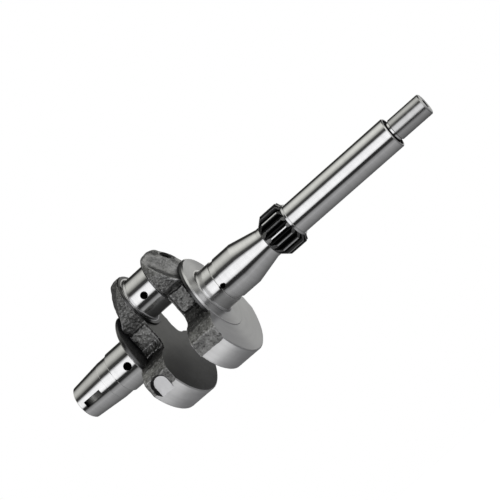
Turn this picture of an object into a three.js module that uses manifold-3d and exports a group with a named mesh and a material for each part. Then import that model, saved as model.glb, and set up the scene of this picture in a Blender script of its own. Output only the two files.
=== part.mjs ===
// Crankshaft of a small single-cylinder engine: a steel forging with turned and ground journals.
//
// Frame: millimetres, +Z up. The main axis is X, +X points to the output end, and the origin lies
// on the main axis at the middle of the crankpin. The crankpin is straight above it, on +Z.
//
// The forging is modelled as its functional sections, one solid each, divided where a lathe or a
// grinder would change from one feature to the next. A face with a journal rising from it keeps the
// journal's root fillet, so that the face is a true ring. Only the two gallery plugs are loose pieces
// on the real shaft. "Front" is the flywheel side (-X), "rear" the output side (+X).

import * as THREE from "three";
import { mergeVertices } from "three/addons/utils/BufferGeometryUtils.js";
import Module from "manifold-3d";

const wasm = await Module();
wasm.setup();

// ---- Driving dimensions -----------------------------------------------------------------------

const GAP = 0.3; // clearance left between neighbouring sections
const OVERSHOOT = 5; // how far a cutting tool runs past the surface that it enters
const ROUND_STEPS = 48; // facets around a turned section

// Crank throw
const THROW = 33; // half of the 66 mm stroke
const PIN_RADIUS = 19;
const PIN_HALF_LENGTH = 12.4;
const ROOT_FILLET = 1.2; // ground fillet where a journal meets its thrust face

// Webs, stated as distances from the middle plane of the crankpin
const WEB_INNER = 13.6;
const DISC_INNER = 34;
const DISC_OUTER = 38;
const DISC_RADIUS = 34;
const LOBE_RADIUS = 24.5; // web end around the crankpin
const NECK_HALF_WIDTH = 20.8;
const NECK_FOOT = 1; // height where the web stands on its counterweight
const SHOULDER_SLOPE = 0.57; // axial drop per millimetre of radius on the conical shoulder
const LOBE_TOP = THROW + LOBE_RADIUS;

// Counterweights
const WEIGHT_OUTER = 37.6;
const WEIGHT_RADIUS = 58.5;
const TURNED_TOP = -33; // height where the turned rim starts
const FLANK_TOP = -20;
const FLANK_HALF_WIDTH = 49.2;
const FOOT_FILLET = 8; // concave radius between the neck and the top of the counterweight
const FOOT_SLOPE = THREE.MathUtils.degToRad(15); // fall of that top where the fillet runs into it
const NOTCH_WIDTH = 13;
const NOTCH_CENTRE = -26.6;
const NOTCH_TOP = -20.6;
const NOTCH_FLOOR = 46.3;

// Flywheel end
const TAPER_START = -106.5;
const TAPER_END = -76.2;
const LAND_END = -66;
const TAPER_SMALL_RADIUS = 15.3;
const LAND_RADIUS = 17.9;
const KEY_SLOT = { start: -101.1, end: -83.1, width: 5.5, floor: 13 };
const KEY_SLOT_ANGLE = THREE.MathUtils.degToRad(5); // turned towards the counterweight
const FLYWHEEL_BORE = { radius: 5.1, depth: 32, countersink: 6.4 };

// Main journals and the turned length behind them
const JOURNAL_RADIUS = 19;
const OIL_GROOVE = { start: 51, end: 56, radius: 18.2 };
const JOURNAL_END = 73.2;
const CONE_END = 97.5;
const NECK_RADIUS = 13.5;
const GEAR_START = 100.9;
const GEAR_END = 127;
const SHAFT_RADIUS = 13.35;
const SHAFT_END = 228.2;
const SPIGOT_UNDERCUT = { length: 2, radius: 8.7 };
const SPIGOT_RADIUS = 9.3;
const SPIGOT_END = 260.4;
const CENTRE_HOLE = { radius: 2.6, depth: 12, countersink: 3.6 };

// Timing gear, cut in a collar of the shaft
const TOOTH_COUNT = 17;
const GEAR_MODULE = 2;
const PRESSURE_ANGLE = THREE.MathUtils.degToRad(20);
const GEAR_CHAMFER_FRONT = 6.8;
const GEAR_CHAMFER_REAR = 4;

// Oil ways
const FRONT_OIL_HOLE = { x: -50.3, radius: 3.5 };
const REAR_OIL_HOLE = { x: 53.5, radius: 2.1, turn: THREE.MathUtils.degToRad(6.5) };
const PIN_OIL_HOLE = { x: 0, radius: 3.1 };
const GALLERY_RADIUS = 2.5;
const GALLERY_MOUTH_RADIUS = 45; // distance of the gallery's mouth from the main axis
const PLUG_BORE_RADIUS = 4;
const PLUG_BORE_DEPTH = 4.2;
const PLUG_LENGTH = 2.6;
const PLUG_SUNK = 1.3; // how far the plug sits below the shoulder

// ---- Materials --------------------------------------------------------------------------------

const forged = () =>
  new THREE.MeshStandardMaterial({ color: 0x4b4b49, roughness: 0.72, metalness: 0.8 });
const ground = () =>
  new THREE.MeshStandardMaterial({ color: 0xc9c9c6, roughness: 0.16, metalness: 1 });
const turned = () =>
  new THREE.MeshStandardMaterial({ color: 0xa9a9a6, roughness: 0.32, metalness: 1 });
const cutTeeth = () =>
  new THREE.MeshStandardMaterial({ color: 0x8b8b89, roughness: 0.3, metalness: 1 });

// ---- Solids -----------------------------------------------------------------------------------

/** A closed geometry as a manifold solid. */
function solidOf(geometry) {
  const bare = geometry.index ? geometry.toNonIndexed() : geometry.clone();
  bare.deleteAttribute("normal");
  bare.deleteAttribute("uv");
  const merged = mergeVertices(bare, 1e-4);
  const mesh = new wasm.Mesh({
    numProp: 3,
    vertProperties: merged.attributes.position.array,
    triVerts: new Uint32Array(merged.index.array),
  });
  return new wasm.Manifold(mesh);
}

/** A manifold solid as a geometry. */
function geometryOf(solid) {
  const mesh = solid.getMesh();
  const geometry = new THREE.BufferGeometry();
  geometry.setAttribute("position", new THREE.BufferAttribute(mesh.vertProperties, 3));
  geometry.setIndex(new THREE.BufferAttribute(mesh.triVerts, 1));
  geometry.computeVertexNormals();
  return geometry;
}

/** Solid of revolution about the main axis. The profile is a list of [x, radius], rising in x. */
function revolved(profile, steps = ROUND_STEPS) {
  const first = profile[0];
  const last = profile[profile.length - 1];
  const points = [[first[0], 0], ...profile, [last[0], 0]];
  const outline = points.map(([x, radius]) => new THREE.Vector2(radius, x));
  const geometry = new THREE.LatheGeometry(outline, steps);
  return solidOf(geometry.rotateZ(-Math.PI / 2));
}

/** Round bar about the main axis between two stations. */
function bar(start, end, radius, steps = ROUND_STEPS) {
  return revolved([[start, radius], [end, radius]], steps);
}

/** Straight round drilling between two points. */
function drilling(from, to, radius, steps = 16) {
  const along = new THREE.Vector3().subVectors(to, from);
  const geometry = new THREE.CylinderGeometry(radius, radius, along.length(), steps);
  const turn = new THREE.Quaternion().setFromUnitVectors(
    new THREE.Vector3(0, 1, 0),
    along.clone().normalize(),
  );
  geometry.applyQuaternion(turn);
  const middle = new THREE.Vector3().addVectors(from, to).multiplyScalar(0.5);
  return solidOf(geometry.translate(middle.x, middle.y, middle.z));
}

/** Outline in the YZ plane, extruded along the main axis between two stations. */
function prism(shape, start, end, curveSegments = 12) {
  const low = Math.min(start, end);
  const high = Math.max(start, end);
  const options = { depth: high - low, bevelEnabled: false, curveSegments };
  const geometry = new THREE.ExtrudeGeometry(shape, options);
  const yAxis = new THREE.Vector3(0, 1, 0);
  const zAxis = new THREE.Vector3(0, 0, 1);
  const xAxis = new THREE.Vector3(1, 0, 0);
  geometry.applyMatrix4(new THREE.Matrix4().makeBasis(yAxis, zAxis, xAxis));
  return solidOf(geometry.translate(low, 0, 0));
}

/** Quarter-round points that leave a shaft at [x, radius] and rise to a face at x + side * size. */
function rootFillet(x, radius, size, side) {
  const steps = 4;
  const points = [];
  for (let i = 0; i <= steps; i += 1) {
    const angle = ((Math.PI / 2) * i) / steps;
    points.push([
      x + side * size * Math.sin(angle),
      radius + size * (1 - Math.cos(angle)),
    ]);
  }
  return side > 0 ? points : points.reverse();
}

/** Countersunk hole on the main axis, entering an end face. direction is +1 or -1 along X. */
function centreHole(face, direction, { radius, depth, countersink }) {
  const mouth = face - direction * OVERSHOOT;
  const bottom = face + direction * depth;
  const hole = drilling(
    new THREE.Vector3(mouth, 0, 0),
    new THREE.Vector3(bottom, 0, 0),
    radius,
    24,
  );
  const sinkDepth = countersink - radius;
  const sink = [
    [face - direction * GAP, countersink + GAP],
    [face + direction * sinkDepth, radius],
  ];
  return hole.add(revolved(direction > 0 ? sink : sink.reverse(), 24));
}

// ---- Oil ways ---------------------------------------------------------------------------------

/** Distance of the conical shoulder from the middle plane, at a radius from the main axis. */
function shoulderAt(radius) {
  return DISC_INNER - (radius - DISC_RADIUS) * SHOULDER_SLOPE;
}

/** Middle of a gallery's mouth on the conical shoulder of one web. side is -1 front, +1 rear. */
function galleryMouth(side) {
  return new THREE.Vector3(side * shoulderAt(GALLERY_MOUTH_RADIUS), 0, GALLERY_MOUTH_RADIUS);
}

/** Where a gallery ends, on the axis of the main journal on the far side. */
function galleryFoot(side) {
  return new THREE.Vector3(side > 0 ? FRONT_OIL_HOLE.x : REAR_OIL_HOLE.x, 0, 0);
}

/** Unit vector that runs into a gallery from its mouth. */
function galleryDirection(side) {
  return new THREE.Vector3().subVectors(galleryFoot(side), galleryMouth(side)).normalize();
}

/** The stepped drilling of one gallery. */
function gallery(side) {
  const mouth = galleryMouth(side);
  const inwards = galleryDirection(side);
  const outside = mouth.clone().addScaledVector(inwards, -OVERSHOOT);
  const seat = mouth.clone().addScaledVector(inwards, PLUG_BORE_DEPTH);
  const way = drilling(outside, galleryFoot(side), GALLERY_RADIUS, 12);
  return way.add(drilling(outside, seat, PLUG_BORE_RADIUS, 20));
}

/** A radial oil hole that enters a journal near its -Y side and stops just past its axis. */
function radialHole({ x, radius, turn = 0 }, surface, height = 0) {
  const outside = new THREE.Vector3(x, -surface - OVERSHOOT, 0);
  const bottom = new THREE.Vector3(x, GALLERY_RADIUS, 0);
  const aroundAxis = (point) => point.applyAxisAngle(new THREE.Vector3(1, 0, 0), turn);
  const hole = drilling(aroundAxis(outside), aroundAxis(bottom), radius);
  return hole.translate([0, 0, height]);
}

const oilWays = gallery(-1)
  .add(gallery(1))
  .add(radialHole(FRONT_OIL_HOLE, JOURNAL_RADIUS))
  .add(radialHole(REAR_OIL_HOLE, JOURNAL_RADIUS))
  .add(radialHole(PIN_OIL_HOLE, PIN_RADIUS, THROW));

/** The sunk plug that closes one gallery. */
function galleryPlug(side) {
  const inwards = galleryDirection(side);
  const top = galleryMouth(side).addScaledVector(inwards, PLUG_SUNK);
  const bottom = top.clone().addScaledVector(inwards, PLUG_LENGTH);
  return drilling(top, bottom, PLUG_BORE_RADIUS - GAP, 20);
}

// ---- Flywheel end -----------------------------------------------------------------------------

function flywheelTaper() {
  const chamfer = 0.8;
  const body = revolved([
    [TAPER_START, TAPER_SMALL_RADIUS - chamfer],
    [TAPER_START + chamfer, TAPER_SMALL_RADIUS],
    [TAPER_END - GAP, LAND_RADIUS],
  ]);
  const slotLength = KEY_SLOT.end - KEY_SLOT.start;
  const slotDepth = LAND_RADIUS + OVERSHOOT - KEY_SLOT.floor;
  const slot = new THREE.BoxGeometry(slotLength, slotDepth, KEY_SLOT.width);
  slot.translate(
    (KEY_SLOT.start + KEY_SLOT.end) / 2,
    -KEY_SLOT.floor - slotDepth / 2,
    0,
  );
  slot.rotateX(KEY_SLOT_ANGLE);
  return body.subtract(solidOf(slot)).subtract(centreHole(TAPER_START, 1, FLYWHEEL_BORE));
}

function frontSealLand() {
  return bar(TAPER_END, LAND_END - GAP, LAND_RADIUS);
}

function frontMainJournal() {
  const chamfer = 0.9;
  return revolved([
    [LAND_END, JOURNAL_RADIUS - chamfer],
    [LAND_END + chamfer, JOURNAL_RADIUS],
    [-DISC_OUTER - ROOT_FILLET - GAP, JOURNAL_RADIUS],
  ]).subtract(oilWays);
}

// ---- Crank throw ------------------------------------------------------------------------------

/** Disc behind a web, with the root fillet of the main journal that rises from its outer face. */
function thrustDisc(side) {
  const chamfer = 0.6;
  const rim = [
    [side * DISC_INNER, DISC_RADIUS],
    [side * (DISC_OUTER - chamfer), DISC_RADIUS],
    [side * DISC_OUTER, DISC_RADIUS - chamfer],
  ];
  const root = rootFillet(side * (DISC_OUTER + ROOT_FILLET), JOURNAL_RADIUS, ROOT_FILLET, -side);
  const profile = side > 0 ? [...rim, ...root] : [...root, ...rim.reverse()];
  return revolved(profile).subtract(oilWays);
}

/** Room that a disc and its clearance take out of the web and the counterweight behind it. */
function discRoom(side) {
  const near = side * (DISC_INNER - GAP);
  const far = side * (DISC_OUTER + OVERSHOOT);
  return bar(Math.min(near, far), Math.max(near, far), DISC_RADIUS + GAP);
}

/** Web outline seen along the main axis: a round lobe about the crankpin on a straight neck. */
function webOutline() {
  const lobeFoot = Math.asin(-Math.sqrt(1 - (NECK_HALF_WIDTH / LOBE_RADIUS) ** 2));
  const shape = new THREE.Shape();
  shape.moveTo(-NECK_HALF_WIDTH, NECK_FOOT);
  shape.lineTo(NECK_HALF_WIDTH, NECK_FOOT);
  shape.absarc(0, THROW, LOBE_RADIUS, lobeFoot, Math.PI - lobeFoot, false);
  shape.closePath();
  return shape;
}

/** The conical shoulder and rounded top that bound a web, as a solid about the main axis. */
function webShoulder(side) {
  const slopeEnd = LOBE_TOP - 3.5;
  const crown = new THREE.QuadraticBezierCurve(
    new THREE.Vector2(shoulderAt(slopeEnd), slopeEnd),
    new THREE.Vector2(shoulderAt(LOBE_TOP), LOBE_TOP),
    new THREE.Vector2(shoulderAt(LOBE_TOP) - 3.5, LOBE_TOP),
  );
  const rounded = crown.getPoints(5).map(({ x, y }) => [side * x, y]);
  const profile = [
    [side * DISC_INNER, DISC_RADIUS],
    ...rounded,
    [side * WEB_INNER, LOBE_TOP],
  ];
  return revolved(side > 0 ? profile.reverse() : profile, 96);
}

function web(side) {
  return prism(webOutline(), side * WEB_INNER, side * (DISC_INNER - GAP))
    .intersect(webShoulder(side))
    .subtract(oilWays);
}

/** Convex top of a counterweight, from its flank's corner up to the end of the foot fillet. */
function convexTop(filletCentre, filletEnd) {
  const steps = 6;
  const startY = filletCentre + FOOT_FILLET * Math.cos(filletEnd);
  const startZ = NECK_FOOT + FOOT_FILLET * Math.sin(filletEnd);
  const run = FLANK_HALF_WIDTH - startY;
  const drop = startZ - FLANK_TOP;
  // The arc leaves the fillet in line with it, so it turns twice as far as its chord does.
  const turn = 2 * (Math.atan2(drop, run) - FOOT_SLOPE);
  const radius = Math.hypot(run, drop) / 2 / Math.sin(turn / 2);
  const points = [];
  for (let i = 0; i < steps; i += 1) {
    const slope = FOOT_SLOPE + (turn * (steps - i)) / steps;
    points.push([
      startY + radius * (Math.sin(slope) - Math.sin(FOOT_SLOPE)),
      startZ - radius * (Math.cos(FOOT_SLOPE) - Math.cos(slope)),
    ]);
  }
  return points;
}

/** Counterweight outline seen along the main axis. */
function weightOutline() {
  const rimAngle = Math.asin(TURNED_TOP / WEIGHT_RADIUS);
  const rimHalfWidth = WEIGHT_RADIUS * Math.cos(rimAngle);
  const filletCentre = NECK_HALF_WIDTH + FOOT_FILLET;
  const filletEnd = -Math.PI / 2 - FOOT_SLOPE;
  const top = convexTop(filletCentre, filletEnd);
  const shape = new THREE.Shape();
  shape.moveTo(rimHalfWidth, TURNED_TOP);
  shape.lineTo(FLANK_HALF_WIDTH, TURNED_TOP);
  top.forEach(([y, z]) => shape.lineTo(y, z));
  shape.absarc(filletCentre, NECK_FOOT, FOOT_FILLET, filletEnd, -Math.PI, true);
  shape.absarc(-filletCentre, NECK_FOOT, FOOT_FILLET, 0, -Math.PI - filletEnd, true);
  top.reverse().forEach(([y, z]) => shape.lineTo(-y, z));
  shape.lineTo(-FLANK_HALF_WIDTH, TURNED_TOP);
  shape.absarc(0, 0, WEIGHT_RADIUS, Math.PI - rimAngle, 2 * Math.PI + rimAngle, false);
  return shape;
}

function counterweight(side) {
  const clearFoot = new THREE.BoxGeometry(200, 200, 2 * GAP);
  clearFoot.translate(0, 0, NECK_FOOT);
  return prism(weightOutline(), side * WEB_INNER, side * WEIGHT_OUTER)
    .subtract(discRoom(side))
    .subtract(solidOf(clearFoot));
}

/** Round-topped notch milled into the -Y flank of the front counterweight, open downwards. */
function flankNotch() {
  const radius = NOTCH_WIDTH / 2;
  const topCentre = NOTCH_TOP - radius;
  const shape = new THREE.Shape();
  shape.moveTo(NOTCH_CENTRE - radius, -WEIGHT_RADIUS);
  shape.lineTo(NOTCH_CENTRE + radius, -WEIGHT_RADIUS);
  shape.absarc(NOTCH_CENTRE, topCentre, radius, 0, Math.PI, false);
  shape.closePath();
  const options = { depth: 2 * OVERSHOOT, bevelEnabled: false, curveSegments: 8 };
  const geometry = new THREE.ExtrudeGeometry(shape, options);
  geometry.rotateX(Math.PI / 2);
  return solidOf(geometry.translate(0, -NOTCH_FLOOR, 0));
}

/** Raised, ground face for the connecting rod's side, with the root fillet of the crankpin. */
function rodThrustFace(side) {
  const ring = [
    [side * PIN_HALF_LENGTH, LOBE_RADIUS],
    [side * (WEB_INNER - GAP), LOBE_RADIUS],
  ];
  const root = rootFillet(side * (PIN_HALF_LENGTH - ROOT_FILLET), PIN_RADIUS, ROOT_FILLET, side);
  const profile = side > 0 ? [...root, ...ring] : [...ring.reverse(), ...root];
  return revolved(profile).translate([0, 0, THROW]).subtract(oilWays);
}

function crankpin() {
  const end = PIN_HALF_LENGTH - ROOT_FILLET - GAP;
  return bar(-end, end, PIN_RADIUS).translate([0, 0, THROW]).subtract(oilWays);
}

// ---- Output end -------------------------------------------------------------------------------

function rearMainJournal() {
  return revolved([
    [DISC_OUTER + ROOT_FILLET + GAP, JOURNAL_RADIUS],
    [OIL_GROOVE.start, JOURNAL_RADIUS],
    [OIL_GROOVE.start, OIL_GROOVE.radius],
    [OIL_GROOVE.end, OIL_GROOVE.radius],
    [OIL_GROOVE.end, JOURNAL_RADIUS],
    [JOURNAL_END - GAP, JOURNAL_RADIUS],
  ]).subtract(oilWays);
}

function journalCone() {
  return revolved([
    [JOURNAL_END, JOURNAL_RADIUS],
    [CONE_END - GAP, NECK_RADIUS],
  ]);
}

function gearNeck() {
  return bar(CONE_END, GEAR_START - GAP, NECK_RADIUS);
}

/** Outline of the timing gear: involute teeth, one of them centred on the -Y side. */
function gearOutline() {
  const pitchRadius = (GEAR_MODULE * TOOTH_COUNT) / 2;
  const baseRadius = pitchRadius * Math.cos(PRESSURE_ANGLE);
  const tipRadius = pitchRadius + GEAR_MODULE;
  const rootRadius = pitchRadius - 1.25 * GEAR_MODULE;
  const involute = (radius) => {
    const pressure = Math.acos(baseRadius / radius);
    return Math.tan(pressure) - pressure;
  };
  const halfToothAtPitch = Math.PI / (2 * TOOTH_COUNT);
  const halfToothAt = (radius) => halfToothAtPitch + involute(pitchRadius) - involute(radius);
  const flankRadii = [0, 1, 2, 3].map(
    (step) => baseRadius + ((tipRadius - baseRadius) * step) / 3,
  );
  const shape = new THREE.Shape();
  const points = [];
  for (let tooth = 0; tooth < TOOTH_COUNT; tooth += 1) {
    const middle = -Math.PI / 2 + (tooth * 2 * Math.PI) / TOOTH_COUNT;
    const rising = [
      [rootRadius, halfToothAt(baseRadius) + 0.02],
      ...flankRadii.map((radius) => [radius, halfToothAt(radius)]),
    ];
    const falling = [...rising].reverse().map(([radius, half]) => [radius, -half]);
    rising.forEach(([radius, half]) => points.push([radius, middle - half]));
    falling.forEach(([radius, half]) => points.push([radius, middle - half]));
  }
  // The gear is drawn in the YZ plane, where -Y is an angle of 180 degrees.
  const toPlane = ([radius, angle]) => {
    const turn = angle - Math.PI / 2;
    return new THREE.Vector2(radius * Math.cos(turn), radius * Math.sin(turn));
  };
  shape.setFromPoints(points.map(toPlane));
  return shape;
}

/** The collar that the teeth are cut in, with its long front and short rear chamfers. */
function timingGear() {
  const tipRadius = (GEAR_MODULE * (TOOTH_COUNT + 2)) / 2;
  const collar = revolved([
    [GEAR_START, NECK_RADIUS],
    [GEAR_START + GEAR_CHAMFER_FRONT, tipRadius],
    [GEAR_END - GEAR_CHAMFER_REAR, tipRadius],
    [GEAR_END - GEAR_CHAMFER_REAR / 4, tipRadius - 2.6],
    [GEAR_END - GAP, SHAFT_RADIUS],
  ]);
  return prism(gearOutline(), GEAR_START - OVERSHOOT, GEAR_END + OVERSHOOT).intersect(collar);
}

/** Output shaft, its shoulder, and the undercut that lets a hub sit flat against that shoulder. */
function outputShaft() {
  const chamfer = 0.7;
  return revolved([
    [GEAR_END, SHAFT_RADIUS],
    [SHAFT_END - chamfer, SHAFT_RADIUS],
    [SHAFT_END, SHAFT_RADIUS - chamfer],
    [SHAFT_END, SPIGOT_UNDERCUT.radius],
    [SHAFT_END + SPIGOT_UNDERCUT.length, SPIGOT_UNDERCUT.radius],
  ]);
}

function outputSpigot() {
  const chamfer = 0.8;
  return revolved([
    [SHAFT_END + SPIGOT_UNDERCUT.length + GAP, SPIGOT_RADIUS],
    [SPIGOT_END - chamfer, SPIGOT_RADIUS],
    [SPIGOT_END, SPIGOT_RADIUS - chamfer],
  ]).subtract(centreHole(SPIGOT_END, -1, CENTRE_HOLE));
}

// ---- Assembly ---------------------------------------------------------------------------------

const crankshaft = new THREE.Group();
crankshaft.name = "crankshaft";

function addNode(name, solid, material) {
  const mesh = new THREE.Mesh(geometryOf(solid), material);
  mesh.name = name;
  crankshaft.add(mesh);
}

addNode("flywheel_taper", flywheelTaper(), ground());
addNode("front_seal_land", frontSealLand(), ground());
addNode("front_main_journal", frontMainJournal(), ground());

for (const [end, side] of [["front", -1], ["rear", 1]]) {
  addNode(`${end}_thrust_disc`, thrustDisc(side), turned());
  addNode(`${end}_web`, web(side), forged());
  addNode(`${end}_rod_thrust_face`, rodThrustFace(side), ground());
  addNode(`${end}_gallery_plug`, galleryPlug(side), forged());
}
addNode("front_counterweight", counterweight(-1).subtract(flankNotch()), turned());
addNode("rear_counterweight", counterweight(1), turned());
addNode("crankpin", crankpin(), ground());

addNode("rear_main_journal", rearMainJournal(), ground());
addNode("journal_cone", journalCone(), ground());
addNode("gear_neck", gearNeck(), ground());
addNode("timing_gear", timingGear(), cutTeeth());
addNode("output_shaft", outputShaft(), ground());
addNode("output_spigot", outputSpigot(), ground());

export default crankshaft;
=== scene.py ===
"""Visual model of the crankshaft of a small single-cylinder engine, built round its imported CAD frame.

Lengths are millimetres until a mesh is finished, and metres in the scene. The main axis is X, the
crankpin lies above it on +Z, and "front" is the flywheel side (-X).

The turned sections are lathe profiles. The webs and counterweights are made as the real ones are: a
distance field gives the forging with its blasted skin, and plane and turning cuts then machine it.
"""

import math

import bmesh
import bpy
import numpy as np
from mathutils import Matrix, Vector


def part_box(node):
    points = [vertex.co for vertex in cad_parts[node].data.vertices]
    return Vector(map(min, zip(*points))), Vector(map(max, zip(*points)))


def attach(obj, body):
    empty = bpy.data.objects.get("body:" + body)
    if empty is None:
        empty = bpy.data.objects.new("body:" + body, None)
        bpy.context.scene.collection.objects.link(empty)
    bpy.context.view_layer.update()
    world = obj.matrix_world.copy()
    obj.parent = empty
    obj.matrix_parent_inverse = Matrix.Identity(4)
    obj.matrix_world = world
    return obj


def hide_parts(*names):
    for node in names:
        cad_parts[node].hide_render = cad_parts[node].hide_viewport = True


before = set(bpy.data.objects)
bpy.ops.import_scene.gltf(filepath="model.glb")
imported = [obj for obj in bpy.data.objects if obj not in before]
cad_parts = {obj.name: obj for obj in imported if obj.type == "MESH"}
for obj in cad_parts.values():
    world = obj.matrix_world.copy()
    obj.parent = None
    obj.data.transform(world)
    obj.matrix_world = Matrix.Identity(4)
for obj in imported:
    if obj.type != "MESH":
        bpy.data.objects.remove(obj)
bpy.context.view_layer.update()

import openvdb
from mathutils import Matrix, Vector

MM = 0.001


def low(node):
    """Lowest corner of a CAD node, in millimetres."""
    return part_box(node)[0] / MM


def high(node):
    """Highest corner of a CAD node, in millimetres."""
    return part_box(node)[1] / MM


# ---- Dimensions read from the frame ----

CAD_FILLET = 1.2  # the frame's fillet at the foot of each journal
THROW = (low("crankpin").z + high("crankpin").z) / 2
PIN_RADIUS = high("crankpin").z - THROW
ROD_FACE = low("rear_rod_thrust_face").x + CAD_FILLET
WEB_INNER = low("rear_web").x
NECK_FOOT = (low("rear_web").z + high("rear_counterweight").z) / 2
LOBE_RADIUS = high("rear_rod_thrust_face").z - THROW
LOBE_TOP = high("rear_web").z
DISC_INNER = low("rear_thrust_disc").x
DISC_OUTER = high("rear_thrust_disc").x - CAD_FILLET
DISC_RADIUS = high("rear_thrust_disc").z
WEIGHT_OUTER = high("rear_counterweight").x
WEIGHT_RADIUS = -low("rear_counterweight").z
FLANK_HALF_WIDTH = high("rear_counterweight").y
JOURNAL_RADIUS = high("rear_main_journal").z
TAPER_START = low("flywheel_taper").x
LAND_START = low("front_seal_land").x
LAND_RADIUS = high("front_seal_land").z
FRONT_JOURNAL_START = low("front_main_journal").x
CONE_START = low("journal_cone").x
NECK_START = low("gear_neck").x
NECK_RADIUS = high("gear_neck").z
GEAR_START = low("timing_gear").x
SHAFT_START = low("output_shaft").x
SHAFT_RADIUS = high("output_shaft").z
SPIGOT_START = low("output_spigot").x
SPIGOT_RADIUS = high("output_spigot").z
SPIGOT_END = high("output_spigot").x

# ---- Dimensions of details that no box gives ----

STEPS = 256  # facets round a turned section
GRID = 0.5  # spacing of the forging's distance field
REACH = 200  # a length that clears the whole part across, for cutters

DISC_CHAMFER = 1.3
ROOT_FILLET = 2.3  # visible fillet, which runs a little further along the journal than the frame's
TAPER_SMALL_RADIUS = 15.3
FLYWHEEL_BORE = 5.1
FLYWHEEL_SINK = 6.4
KEY_SLOT = {"start": -101.1, "end": -83.1, "width": 5.5, "floor": 13, "turn": math.radians(5)}
SPIGOT_UNDERCUT = 8.7
SHOULDER_FACE = SPIGOT_START - 2.3
CENTRE_HOLE = {"radius": 2.6, "depth": 12, "sink": 3.6}
OIL_GROOVE = {"start": 51, "end": 56, "radius": 18.2}

NECK_HALF_WIDTH = 20.8
SHOULDER_SLOPE = 0.57
FOOT_FILLET = 8
FOOT_SLOPE = math.radians(15)
FLANK_TOP = -20
TURNED_TOP = -31.4
NOTCH = {"centre": -26.6, "width": 13, "top": -20.6, "floor": 46.3}
NOTCH_FLARE = 2.0  # how far the notch widens from its floor to the flank
PADS = {  # raised pads on the neck, by distance from the pin's middle and by height
    "front": {"inner": 15.2, "outer": 31.6, "foot": -4.6, "top": 14.5},
    "rear": {"inner": 16.6, "outer": 29.6, "foot": 2.6, "top": 18.6},
}
SHOULDER_PAINTED_LIGHT = {"front": 0.15, "rear": 0.33}  # how light the smooth shoulder is painted: lighter on the rear, darker on the front, as painted light and shade
RELIEF = {  # heights of the details of the forged skin
    "pad": 1.4, "hollow": 2.6, "flash": 0.6, "waves": 0.2, "lumps": 0.45, "grit": 0.32, "draw_line": 0.5,
}
HOLLOW_TOP = 17  # height at which the hollow beside the thrust disc ends
RIDGE = {"x": 14.7, "z": 52.5, "slope": 0.54}  # line where the shoulder meets the lobe's flank
CROWN = 0.9  # rise of the shoulder between the two ridges
# Of these heights, the dark foot from -11 to 0 is painted shade, and the bright steps at -20 and -16 are
# painted highlights on the flank's corner and on a streak.
WEB_TONE_AND_LIGHT = [  # how light the forged skin is painted at each height: its own tone, with painted light
    (-40, 0.8), (-21.5, 0.75), (-20, 1.15), (-18, 0.75), (-16, 1.0), (-14, 0.7), (-11, 0.3),
    (-4, 0.22), (0, 0.35), (4, 0.9), (20, 0.9), (26, 0.6), (60, 0.6),
]
DRAW_LINES = (-12.5, -17.5)  # heights of two low ridges across the top of each counterweight

FRONT_OIL_HOLE = {"x": -50.3, "radius": 3.5, "turn": 0.0}
REAR_OIL_HOLE = {"x": 53.5, "radius": 2.1, "turn": math.radians(6.5)}
PIN_OIL_HOLE = {"x": 0.0, "radius": 3.1, "turn": 0.0}
GALLERY_MOUTH_RADIUS = 45
PLUG_BORE = {"radius": 4.0, "depth": 4.2}
PLUG = {"radius": 3.9, "length": 2.6, "sunk": 1.3}
BOSS = {"radius": 6.5, "width": 1.4, "height": 0.8}

TEETH = 17
MODULE = 2.0
PRESSURE_ANGLE = math.radians(20)
GEAR_CHAMFER_FRONT = 6.8
GEAR_CHAMFER_REAR = 4.0


# ---- Node helpers ----


def connect(tree, socket, value):
    """Links an output to a socket, or sets the socket to a constant."""
    if isinstance(value, bpy.types.NodeSocket):
        tree.links.new(value, socket)
    else:
        socket.default_value = value


def add_node(tree, kind, settings=None, **inputs):
    """Adds a node. Inputs are named with _ for a space, and take a value or another node's output."""
    node = tree.nodes.new(kind)
    for name, value in (settings or {}).items():
        setattr(node, name, value)
    for name, value in inputs.items():
        connect(tree, node.inputs[name.replace("_", " ")], value)
    return node


def calc(tree, operation, *values, kind="ShaderNodeMath"):
    """One Math node, and its output."""
    node = add_node(tree, kind, {"operation": operation})
    for socket, value in zip(node.inputs, values):
        connect(tree, socket, value)
    return node.outputs[0]


def ramp(tree, factor, stops):
    """Colour output of a ramp through (position, colour) stops."""
    node = add_node(tree, "ShaderNodeValToRGB", Fac=factor)
    band = node.color_ramp
    while len(band.elements) < len(stops):
        band.elements.new(1.0)
    for element, (position, colour) in zip(band.elements, stops):
        element.position = position
        element.color = (*colour, 1.0)
    return node.outputs["Color"]


def noise(tree, vector, scale, detail=3.0, roughness=0.55, **inputs):
    """Factor output of a noise texture. With W among the inputs, the noise is four-dimensional."""
    settings = {"noise_dimensions": "4D" if "W" in inputs else "3D"}
    inputs.update(Vector=vector, Scale=scale, Detail=detail, Roughness=roughness)
    return add_node(tree, "ShaderNodeTexNoise", settings, **inputs).outputs[0]


def split(tree, vector):
    """The x, y and z of a vector."""
    return add_node(tree, "ShaderNodeSeparateXYZ", Vector=vector).outputs


def object_position(tree):
    """Position in the object's own coordinates, in metres."""
    return add_node(tree, "ShaderNodeTexCoord").outputs["Object"]


def remap(tree, value, source, target):
    """Maps one range on to another, held at its ends."""
    node = add_node(tree, "ShaderNodeMapRange", Value=value)
    for socket, number in zip(list(node.inputs)[1:5], (*source, *target)):
        socket.default_value = number
    return node.outputs[0]


def spread(tree, factor, lowest, highest):
    """Maps the middle of a noise's range, 0.3 to 0.7, on to two values."""
    return remap(tree, factor, (0.3, 0.7), (lowest, highest))


def painted_corner_shade(tree, reach_mm, darkest):
    """Factor that falls to darkest in corners and recesses: painted shade, from how little light reaches
    each point.
    """
    shelter = add_node(tree, "ShaderNodeAmbientOcclusion", {"samples": 8}, Distance=reach_mm * MM)
    return remap(tree, shelter.outputs["AO"], (0.45, 0.85), (darkest, 1.0))


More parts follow.
